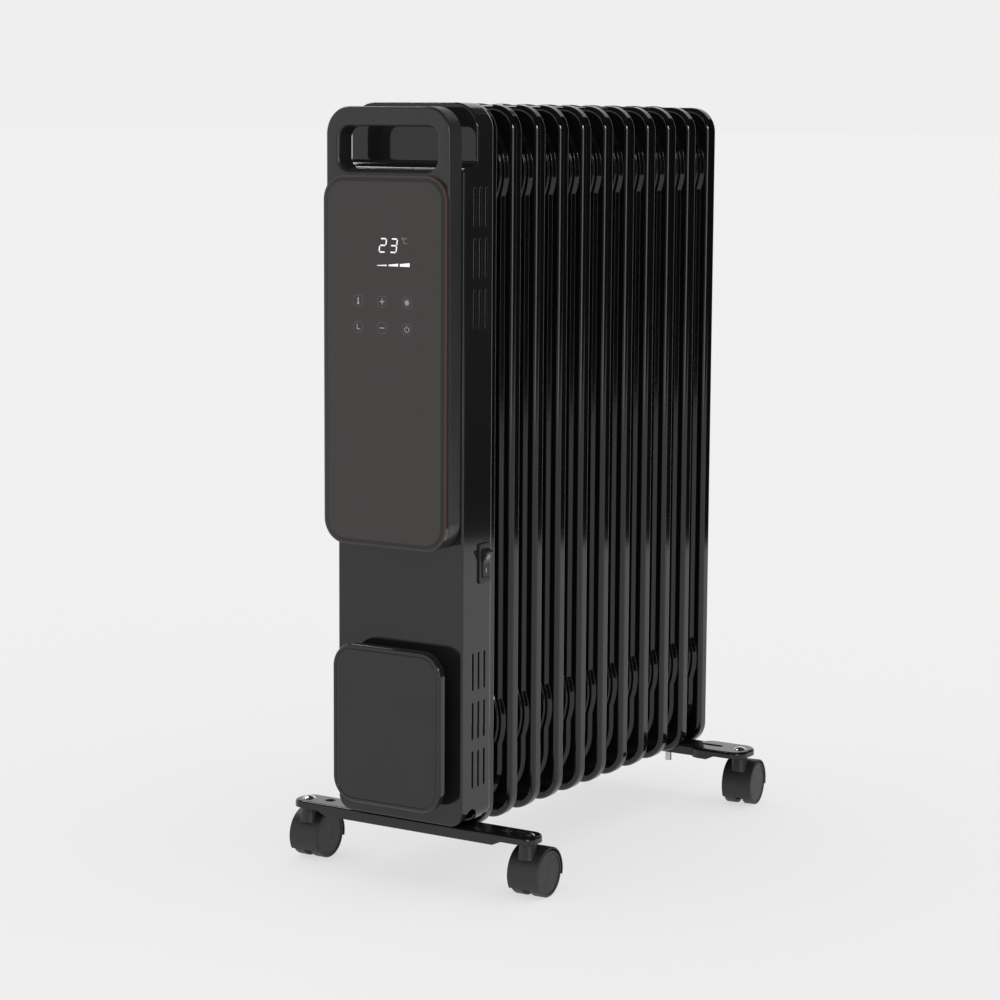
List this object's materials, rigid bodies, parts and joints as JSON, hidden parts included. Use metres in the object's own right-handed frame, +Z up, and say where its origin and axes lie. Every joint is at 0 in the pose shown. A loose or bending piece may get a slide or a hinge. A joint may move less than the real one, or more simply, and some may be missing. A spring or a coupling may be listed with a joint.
{
  "type": "oil filled radiator heater",
  "caption": "Oil filled column radiator with a touch-panel control housing, carrying handle, cord wrap plate, rocker power switch and swivel casters.",
  "frame": {"origin": "middle of the footprint, on the floor under the wheels", "axes": "+Z up, +X towards the side with the power switch, +Y from the control housing towards the last fin"},
  "size_m": [0.2504, 0.4501, 0.6395],
  "materials": {
    "gloss_black_steel": "gloss black stoved paint on pressed steel",
    "element_steel": "dull sheathed element tube",
    "zinc_steel": "bright zinc plate",
    "bright_steel": "polished nickel",
    "brass": "plain brass",
    "sensor_white": "ceramic white",
    "gloss_black_plastic": "high gloss black moulding",
    "satin_black_plastic": "satin black moulding",
    "smoked_panel": "smoked brown-black glossy sheet",
    "board_green": "solder mask green",
    "module_black": "moulded black",
    "gland_rubber": "matt black rubber",
    "switch_black": "satin black nylon",
    "foot_black": "gloss black stoved paint on pressed steel",
    "caster_nylon": "matt black nylon",
    "wheel_nylon": "matt black nylon"
  },
  "bodies": {
    "heater": {"fin_01": "gloss_black_steel", "fin_02": "gloss_black_steel", "fin_03": "gloss_black_steel", "fin_04": "gloss_black_steel", "fin_05": "gloss_black_steel", "fin_06": "gloss_black_steel", "fin_07": "gloss_black_steel", "fin_08": "gloss_black_steel", "fin_09": "gloss_black_steel", "fin_10": "gloss_black_steel", "fin_11": "gloss_black_steel", "top_header_collars": "gloss_black_steel", "bottom_header_collars": "gloss_black_steel", "heating_element": "element_steel", "element_flange": "zinc_steel", "element_terminals": "brass", "oil_filler_plug": "zinc_steel", "thermal_cutout": "sensor_white", "housing_shell": "gloss_black_plastic", "housing_back_plate": "zinc_steel", "housing_screws": "zinc_steel", "front_plate": "satin_black_plastic", "touch_panel": "smoked_panel", "control_board": "board_green", "display_module": "module_black", "touch_springs": "zinc_steel", "power_board": "board_green", "relays": "module_black", "tip_over_switch": "module_black", "cord_gland": "gland_rubber", "cord_wrap_plate": "gloss_black_plastic", "cord_wrap_post": "gloss_black_plastic", "switch_body": "switch_black", "switch_terminals": "brass", "front_foot": "foot_black", "rear_foot": "foot_black", "u_bolt": "zinc_steel", "wing_nuts": "zinc_steel", "foot_screws": "zinc_steel", "caster_stems": "bright_steel"},
    "rocker": {"switch_rocker": "switch_black"},
    "front_left_caster": {"front_left_caster_hood": "caster_nylon", "front_left_caster_axle": "bright_steel"},
    "front_left_left_wheel": {"front_left_wheel_left": "wheel_nylon"},
    "front_left_right_wheel": {"front_left_wheel_right": "wheel_nylon"},
    "front_right_caster": {"front_right_caster_hood": "caster_nylon", "front_right_caster_axle": "bright_steel"},
    "front_right_left_wheel": {"front_right_wheel_left": "wheel_nylon"},
    "front_right_right_wheel": {"front_right_wheel_right": "wheel_nylon"},
    "rear_left_caster": {"rear_left_caster_hood": "caster_nylon", "rear_left_caster_axle": "bright_steel"},
    "rear_left_left_wheel": {"rear_left_wheel_left": "wheel_nylon"},
    "rear_left_right_wheel": {"rear_left_wheel_right": "wheel_nylon"},
    "rear_right_caster": {"rear_right_caster_hood": "caster_nylon", "rear_right_caster_axle": "bright_steel"},
    "rear_right_left_wheel": {"rear_right_wheel_left": "wheel_nylon"},
    "rear_right_right_wheel": {"rear_right_wheel_right": "wheel_nylon"}
  },
  "joints": [
    {"name": "switch_rocker_tilt", "type": "hinge", "parent": "heater", "child": "rocker", "pos_m": [0.0612, -0.17186, 0.2704], "axis": [0, -1, 0], "range_deg": [0, 24]},
    {"name": "front_left_swivel", "type": "hinge", "parent": "heater", "child": "front_left_caster", "pos_m": [-0.11, -0.17856, 0.045], "axis": [0, 0, 1], "continuous": true},
    {"name": "front_left_left_wheel_spin", "type": "hinge", "parent": "front_left_caster", "child": "front_left_left_wheel", "pos_m": [-0.11041, -0.16687, 0.0196], "axis": [0.9994, 0.0349, 0], "continuous": true},
    {"name": "front_left_right_wheel_spin", "type": "hinge", "parent": "front_left_caster", "child": "front_left_right_wheel", "pos_m": [-0.11041, -0.16687, 0.0196], "axis": [0.9994, 0.0349, 0], "continuous": true},
    {"name": "front_right_swivel", "type": "hinge", "parent": "heater", "child": "front_right_caster", "pos_m": [0.11, -0.17856, 0.045], "axis": [0, 0, 1], "continuous": true},
    {"name": "front_right_left_wheel_spin", "type": "hinge", "parent": "front_right_caster", "child": "front_right_left_wheel", "pos_m": [0.10959, -0.16687, 0.0196], "axis": [0.9994, 0.0349, 0], "continuous": true},
    {"name": "front_right_right_wheel_spin", "type": "hinge", "parent": "front_right_caster", "child": "front_right_right_wheel", "pos_m": [0.10959, -0.16687, 0.0196], "axis": [0.9994, 0.0349, 0], "continuous": true},
    {"name": "rear_left_swivel", "type": "hinge", "parent": "heater", "child": "rear_left_caster", "pos_m": [-0.11, 0.18974, 0.045], "axis": [0, 0, 1], "continuous": true},
    {"name": "rear_left_left_wheel_spin", "type": "hinge", "parent": "rear_left_caster", "child": "rear_left_left_wheel", "pos_m": [-0.10837, 0.20133, 0.0196], "axis": [0.9903, -0.1392, 0], "continuous": true},
    {"name": "rear_left_right_wheel_spin", "type": "hinge", "parent": "rear_left_caster", "child": "rear_left_right_wheel", "pos_m": [-0.10837, 0.20133, 0.0196], "axis": [0.9903, -0.1392, 0], "continuous": true},
    {"name": "rear_right_swivel", "type": "hinge", "parent": "heater", "child": "rear_right_caster", "pos_m": [0.11, 0.18974, 0.045], "axis": [0, 0, 1], "continuous": true},
    {"name": "rear_right_left_wheel_spin", "type": "hinge", "parent": "rear_right_caster", "child": "rear_right_left_wheel", "pos_m": [0.10837, 0.20133, 0.0196], "axis": [0.9903, 0.1392, 0], "continuous": true},
    {"name": "rear_right_right_wheel_spin", "type": "hinge", "parent": "rear_right_caster", "child": "rear_right_right_wheel", "pos_m": [0.10837, 0.20133, 0.0196], "axis": [0.9903, 0.1392, 0], "continuous": true}
  ]
}
